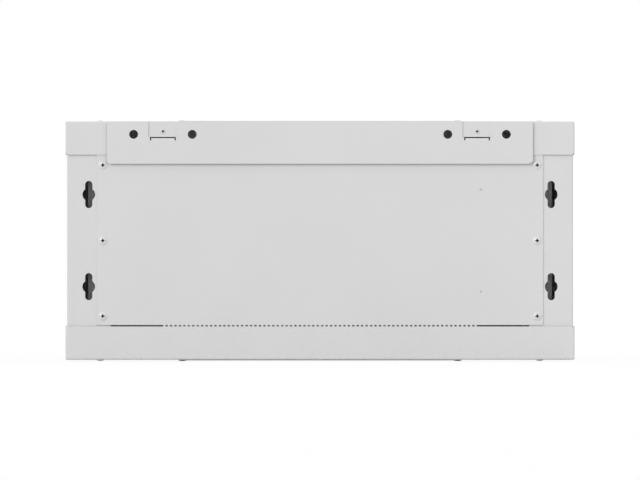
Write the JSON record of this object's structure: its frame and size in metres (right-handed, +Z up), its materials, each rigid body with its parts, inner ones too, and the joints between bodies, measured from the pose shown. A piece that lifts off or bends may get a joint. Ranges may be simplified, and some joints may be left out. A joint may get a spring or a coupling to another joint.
{
  "type": "wall mount network cabinet",
  "caption": "Small wall cabinet for 19 inch equipment: screwed back panel, keyhole posts, glazed locking door and lift-off side panels, in light-grey sheet steel.",
  "frame": {"origin": "under the middle of the case, level with its lowest screw heads", "axes": "+X to the right as seen from the door, +Y towards the wall, +Z up"},
  "size_m": [0.6, 0.453, 0.2856],
  "materials": {
    "powder_coated_steel": "light grey fine-texture powder coat on steel sheet",
    "zinc_plated_rails": "galvanised steel sheet",
    "zinc_plated_fasteners": "bright zinc plating",
    "painted_screws": "light grey painted screw heads",
    "nylon_bush": "natural nylon, moulded",
    "rubber_bumper": "black moulded rubber",
    "foam_tape": "black acrylic foam tape",
    "tempered_glass": "tinted tempered glass, polished",
    "chromed_lock": "chromed zinc die casting",
    "spring_steel": "drawn spring wire"
  },
  "bodies": {
    "case": {"top_tray": "powder_coated_steel", "bottom_tray": "powder_coated_steel", "top_cover_plate": "powder_coated_steel", "bottom_cover_plate": "powder_coated_steel", "top_cover_screws": "painted_screws", "bottom_cover_screws": "painted_screws", "top_tray_screws": "painted_screws", "bottom_tray_screws": "painted_screws", "rear_post_right": "powder_coated_steel", "rear_post_left": "powder_coated_steel", "front_post_right": "powder_coated_steel", "front_post_left": "powder_coated_steel", "back_panel": "powder_coated_steel", "back_panel_screws": "zinc_plated_fasteners", "back_panel_studs": "zinc_plated_fasteners", "rear_top_plate": "powder_coated_steel", "rear_top_plate_screws": "zinc_plated_fasteners", "depth_rail_top_right": "zinc_plated_rails", "depth_rail_top_left": "zinc_plated_rails", "depth_rail_bottom_right": "zinc_plated_rails", "depth_rail_bottom_left": "zinc_plated_rails", "depth_rail_rivets": "zinc_plated_fasteners", "front_rack_rail_right": "zinc_plated_rails", "front_rack_rail_left": "zinc_plated_rails", "rear_rack_rail_right": "zinc_plated_rails", "rear_rack_rail_left": "zinc_plated_rails", "rack_rail_bolts": "zinc_plated_fasteners", "rack_rail_nuts": "zinc_plated_fasteners", "hinge_bush_top": "nylon_bush", "hinge_bush_bottom": "nylon_bush", "door_bumpers": "rubber_bumper", "earth_stud": "zinc_plated_fasteners", "earth_nut": "zinc_plated_fasteners"},
    "door": {"door_frame": "powder_coated_steel", "door_glass_tape": "foam_tape", "door_glass": "tempered_glass", "door_lock_barrel": "chromed_lock", "door_lock_nut": "zinc_plated_fasteners", "hinge_pin_lower": "zinc_plated_fasteners", "hinge_pin_guide": "powder_coated_steel", "hinge_pin_spring": "spring_steel"},
    "door_lock": {"door_lock_plug": "chromed_lock", "door_lock_cam": "zinc_plated_fasteners", "door_lock_cam_screw": "zinc_plated_fasteners"},
    "upper_hinge_pin": {"hinge_pin_upper": "zinc_plated_fasteners"},
    "side_panel_right": {"side_panel_right": "powder_coated_steel", "side_lock_barrel_right": "chromed_lock", "side_lock_nut_right": "zinc_plated_fasteners"},
    "side_lock_right": {"side_lock_plug_right": "chromed_lock", "side_lock_cam_right": "zinc_plated_fasteners", "side_lock_cam_screw_right": "zinc_plated_fasteners"},
    "side_panel_left": {"side_panel_left": "powder_coated_steel", "side_lock_barrel_left": "chromed_lock", "side_lock_nut_left": "zinc_plated_fasteners"},
    "side_lock_left": {"side_lock_plug_left": "chromed_lock", "side_lock_cam_left": "zinc_plated_fasteners", "side_lock_cam_screw_left": "zinc_plated_fasteners"}
  },
  "joints": [
    {"name": "door_hinge", "type": "hinge", "parent": "case", "child": "door", "pos_m": [-0.2902, -0.214, 0.1428], "axis": [0, 0, -1], "range_deg": [0, 115]},
    {"name": "door_lock_turn", "type": "hinge", "parent": "door", "child": "door_lock", "pos_m": [0.231, -0.21, 0.1428], "axis": [0, -1, 0], "range_deg": [0, 90]},
    {"name": "hinge_pin_release", "type": "slide", "parent": "door", "child": "upper_hinge_pin", "axis": [0, 0, -1], "range_m": [0, 0.006], "stiffness_N_per_m": 800, "springref_m": -0.004, "deforming": ["hinge_pin_spring"]},
    {"name": "side_panel_right_off", "type": "slide", "parent": "case", "child": "side_panel_right", "axis": [1, 0, 0], "range_m": [0, 0.1]},
    {"name": "side_lock_right_turn", "type": "hinge", "parent": "side_panel_right", "child": "side_lock_right", "pos_m": [0.292, 0.01025, 0.2173], "axis": [-1, 0, 0], "range_deg": [0, 90]},
    {"name": "side_panel_left_off", "type": "slide", "parent": "case", "child": "side_panel_left", "axis": [-1, 0, 0], "range_m": [0, 0.1]},
    {"name": "side_lock_left_turn", "type": "hinge", "parent": "side_panel_left", "child": "side_lock_left", "pos_m": [-0.292, 0.01025, 0.2173], "axis": [1, 0, 0], "range_deg": [0, 90]}
  ]
}
